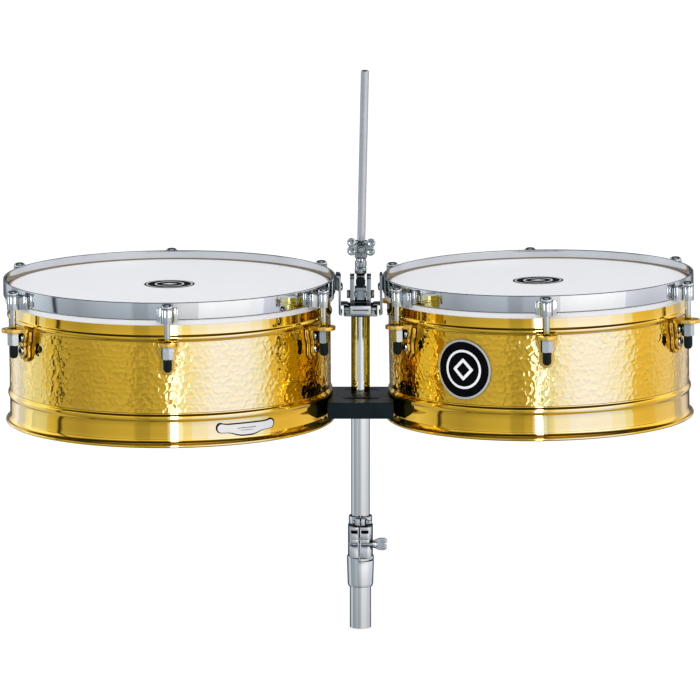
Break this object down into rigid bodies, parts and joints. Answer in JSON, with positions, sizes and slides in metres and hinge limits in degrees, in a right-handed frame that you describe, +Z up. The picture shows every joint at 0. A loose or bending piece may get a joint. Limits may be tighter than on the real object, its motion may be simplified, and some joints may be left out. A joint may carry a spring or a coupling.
{
  "type": "pair of timbales",
  "caption": "Pair of shallow hammered-brass drums hung either side of a telescoping chrome column, with tuning lugs, steel hoops, white heads and a tilting cowbell rod.",
  "frame": {"origin": "centre of the flat lower end of the column, on the column axis", "axes": "+Z up the column; +X across the pair towards the smaller drum; +Y away from the player-side front lug, so the front of the pair faces -Y"},
  "size_m": [0.8189, 0.4462, 0.6715],
  "materials": {
    "brass_shell": "polished and hammered brass",
    "brass_lug": "polished brass",
    "chrome_hoop": "polished chrome plate",
    "chrome_tube": "polished chrome plate",
    "chrome_fittings": "polished chrome plate",
    "head_film": "satin white polyester film",
    "gloss_black": "glossy moulded black plastic",
    "black_nylon": "matt black nylon"
  },
  "bodies": {
    "base": {"lower_tube": "chrome_tube", "stand_clamp": "chrome_fittings"},
    "bushing": {"clamp_bushing": "black_nylon"},
    "clamp_wing": {"clamp_wing_bolt": "chrome_fittings"},
    "column": {"upper_tube": "chrome_tube", "memory_lock": "chrome_fittings", "bumper_block": "gloss_black", "cross_beam": "chrome_fittings", "tilter_bolt": "chrome_fittings"},
    "memory_bolt": {"memory_lock_bolt": "chrome_fittings"},
    "tilter": {"tilter_lower": "chrome_fittings"},
    "knob": {"tilter_knob": "gloss_black"},
    "bell_swivel": {"tilter_upper": "chrome_fittings", "rod_clamp": "chrome_fittings"},
    "rod_wing": {"rod_wing_nut": "chrome_fittings"},
    "bell_rod": {"cowbell_rod": "chrome_fittings"},
    "drum_left": {"left_shell": "brass_shell", "left_head": "head_film", "left_hoop": "chrome_hoop", "left_hanger": "chrome_fittings", "left_lug_1": "brass_lug", "left_lug_2": "brass_lug", "left_lug_3": "brass_lug", "left_lug_4": "brass_lug", "left_lug_5": "brass_lug", "left_lug_6": "brass_lug", "left_rod_1": "chrome_fittings", "left_rod_2": "chrome_fittings", "left_rod_3": "chrome_fittings", "left_rod_4": "chrome_fittings", "left_rod_5": "chrome_fittings", "left_rod_6": "chrome_fittings"},
    "nut_left_1": {"left_nut_1": "chrome_fittings"},
    "nut_left_2": {"left_nut_2": "chrome_fittings"},
    "nut_left_3": {"left_nut_3": "chrome_fittings"},
    "nut_left_4": {"left_nut_4": "chrome_fittings"},
    "nut_left_5": {"left_nut_5": "chrome_fittings"},
    "nut_left_6": {"left_nut_6": "chrome_fittings"},
    "drum_right": {"right_shell": "brass_shell", "right_head": "head_film", "right_hoop": "chrome_hoop", "right_hanger": "chrome_fittings", "right_lug_1": "brass_lug", "right_lug_2": "brass_lug", "right_lug_3": "brass_lug", "right_lug_4": "brass_lug", "right_lug_5": "brass_lug", "right_lug_6": "brass_lug", "right_rod_1": "chrome_fittings", "right_rod_2": "chrome_fittings", "right_rod_3": "chrome_fittings", "right_rod_4": "chrome_fittings", "right_rod_5": "chrome_fittings", "right_rod_6": "chrome_fittings"},
    "nut_right_1": {"right_nut_1": "chrome_fittings"},
    "nut_right_2": {"right_nut_2": "chrome_fittings"},
    "nut_right_3": {"right_nut_3": "chrome_fittings"},
    "nut_right_4": {"right_nut_4": "chrome_fittings"},
    "nut_right_5": {"right_nut_5": "chrome_fittings"},
    "nut_right_6": {"right_nut_6": "chrome_fittings"}
  },
  "joints": [
    {"name": "clamp_wing_turn", "type": "hinge", "parent": "base", "child": "clamp_wing", "pos_m": [0.02, -0.0176, 0.1056], "axis": [1, 0, 0], "range_deg": [-180, 180]},
    {"name": "column_turn", "type": "hinge", "parent": "base", "child": "bushing", "pos_m": [0, 0, 0.118], "axis": [0, 0, 1], "continuous": true},
    {"name": "column_height", "type": "slide", "parent": "bushing", "child": "column", "axis": [0, 0, 1], "range_m": [0, 0.07]},
    {"name": "memory_bolt_turn", "type": "hinge", "parent": "column", "child": "memory_bolt", "pos_m": [0.008, -0.0166, 0.1322], "axis": [1, 0, 0], "range_deg": [-180, 180]},
    {"name": "cowbell_tilt", "type": "hinge", "parent": "column", "child": "tilter", "pos_m": [0, 0, 0.4046], "axis": [1, 0, 0], "range_deg": [-40, 40]},
    {"name": "knob_turn", "type": "hinge", "parent": "tilter", "child": "knob", "pos_m": [0, -0.009, 0.4205], "axis": [0, 1, 0], "continuous": true},
    {"name": "cowbell_turn", "type": "hinge", "parent": "tilter", "child": "bell_swivel", "pos_m": [0.00025, 0, 0.44], "axis": [0.0209, 0, 0.9998], "continuous": true},
    {"name": "cowbell_rod_slide", "type": "slide", "parent": "bell_swivel", "child": "bell_rod", "axis": [0.0209, 0, 0.9998], "range_m": [0, 0.025]},
    {"name": "rod_wing_turn", "type": "hinge", "parent": "bell_swivel", "child": "rod_wing", "pos_m": [0.00069, -0.015, 0.46099], "axis": [0, 1, 0], "continuous": true},
    {"name": "drum_left_swing", "type": "hinge", "parent": "column", "child": "drum_left", "pos_m": [-0.019, 0, 0.3918], "axis": [0, 1, 0], "range_deg": [0, 10]},
    {"name": "tuning_left_1", "type": "hinge", "parent": "drum_left", "child": "nut_left_1", "pos_m": [-0.22222, -0.20922, 0.36594], "axis": [-0.0052, 0.0096, 0.9999], "continuous": true},
    {"name": "tuning_left_2", "type": "hinge", "parent": "drum_left", "child": "nut_left_2", "pos_m": [-0.04307, -0.10158, 0.36585], "axis": [-0.0052, 0.0096, 0.9999], "continuous": true},
    {"name": "tuning_left_3", "type": "hinge", "parent": "drum_left", "child": "nut_left_3", "pos_m": [-0.04671, 0.10738, 0.36382], "axis": [-0.0052, 0.0096, 0.9999], "continuous": true},
    {"name": "tuning_left_4", "type": "hinge", "parent": "drum_left", "child": "nut_left_4", "pos_m": [-0.22949, 0.2087, 0.36189], "axis": [-0.0052, 0.0096, 0.9999], "continuous": true},
    {"name": "tuning_left_5", "type": "hinge", "parent": "drum_left", "child": "nut_left_5", "pos_m": [-0.40864, 0.10106, 0.36199], "axis": [-0.0052, 0.0096, 0.9999], "continuous": true},
    {"name": "tuning_left_6", "type": "hinge", "parent": "drum_left", "child": "nut_left_6", "pos_m": [-0.40501, -0.1079, 0.36401], "axis": [-0.0052, 0.0096, 0.9999], "continuous": true},
    {"name": "drum_right_swing", "type": "hinge", "parent": "column", "child": "drum_right", "pos_m": [0.019, 0, 0.3918], "axis": [0, -1, 0], "range_deg": [0, 10]},
    {"name": "tuning_right_1", "type": "hinge", "parent": "drum_right", "child": "nut_right_1", "pos_m": [0.2144, -0.19674, 0.37208], "axis": [-0.0174, 0.0187, 0.9997], "continuous": true},
    {"name": "tuning_right_2", "type": "hinge", "parent": "drum_right", "child": "nut_right_2", "pos_m": [0.38267, -0.09565, 0.37313], "axis": [-0.0174, 0.0187, 0.9997], "continuous": true},
    {"name": "tuning_right_3", "type": "hinge", "parent": "drum_right", "child": "nut_right_3", "pos_m": [0.37931, 0.10058, 0.3694], "axis": [-0.0174, 0.0187, 0.9997], "continuous": true},
    {"name": "tuning_right_4", "type": "hinge", "parent": "drum_right", "child": "nut_right_4", "pos_m": [0.20768, 0.19573, 0.36463], "axis": [-0.0174, 0.0187, 0.9997], "continuous": true},
    {"name": "tuning_right_5", "type": "hinge", "parent": "drum_right", "child": "nut_right_5", "pos_m": [0.03941, 0.09465, 0.36358], "axis": [-0.0174, 0.0187, 0.9997], "continuous": true},
    {"name": "tuning_right_6", "type": "hinge", "parent": "drum_right", "child": "nut_right_6", "pos_m": [0.04277, -0.10158, 0.3673], "axis": [-0.0174, 0.0187, 0.9997], "continuous": true}
  ]
}
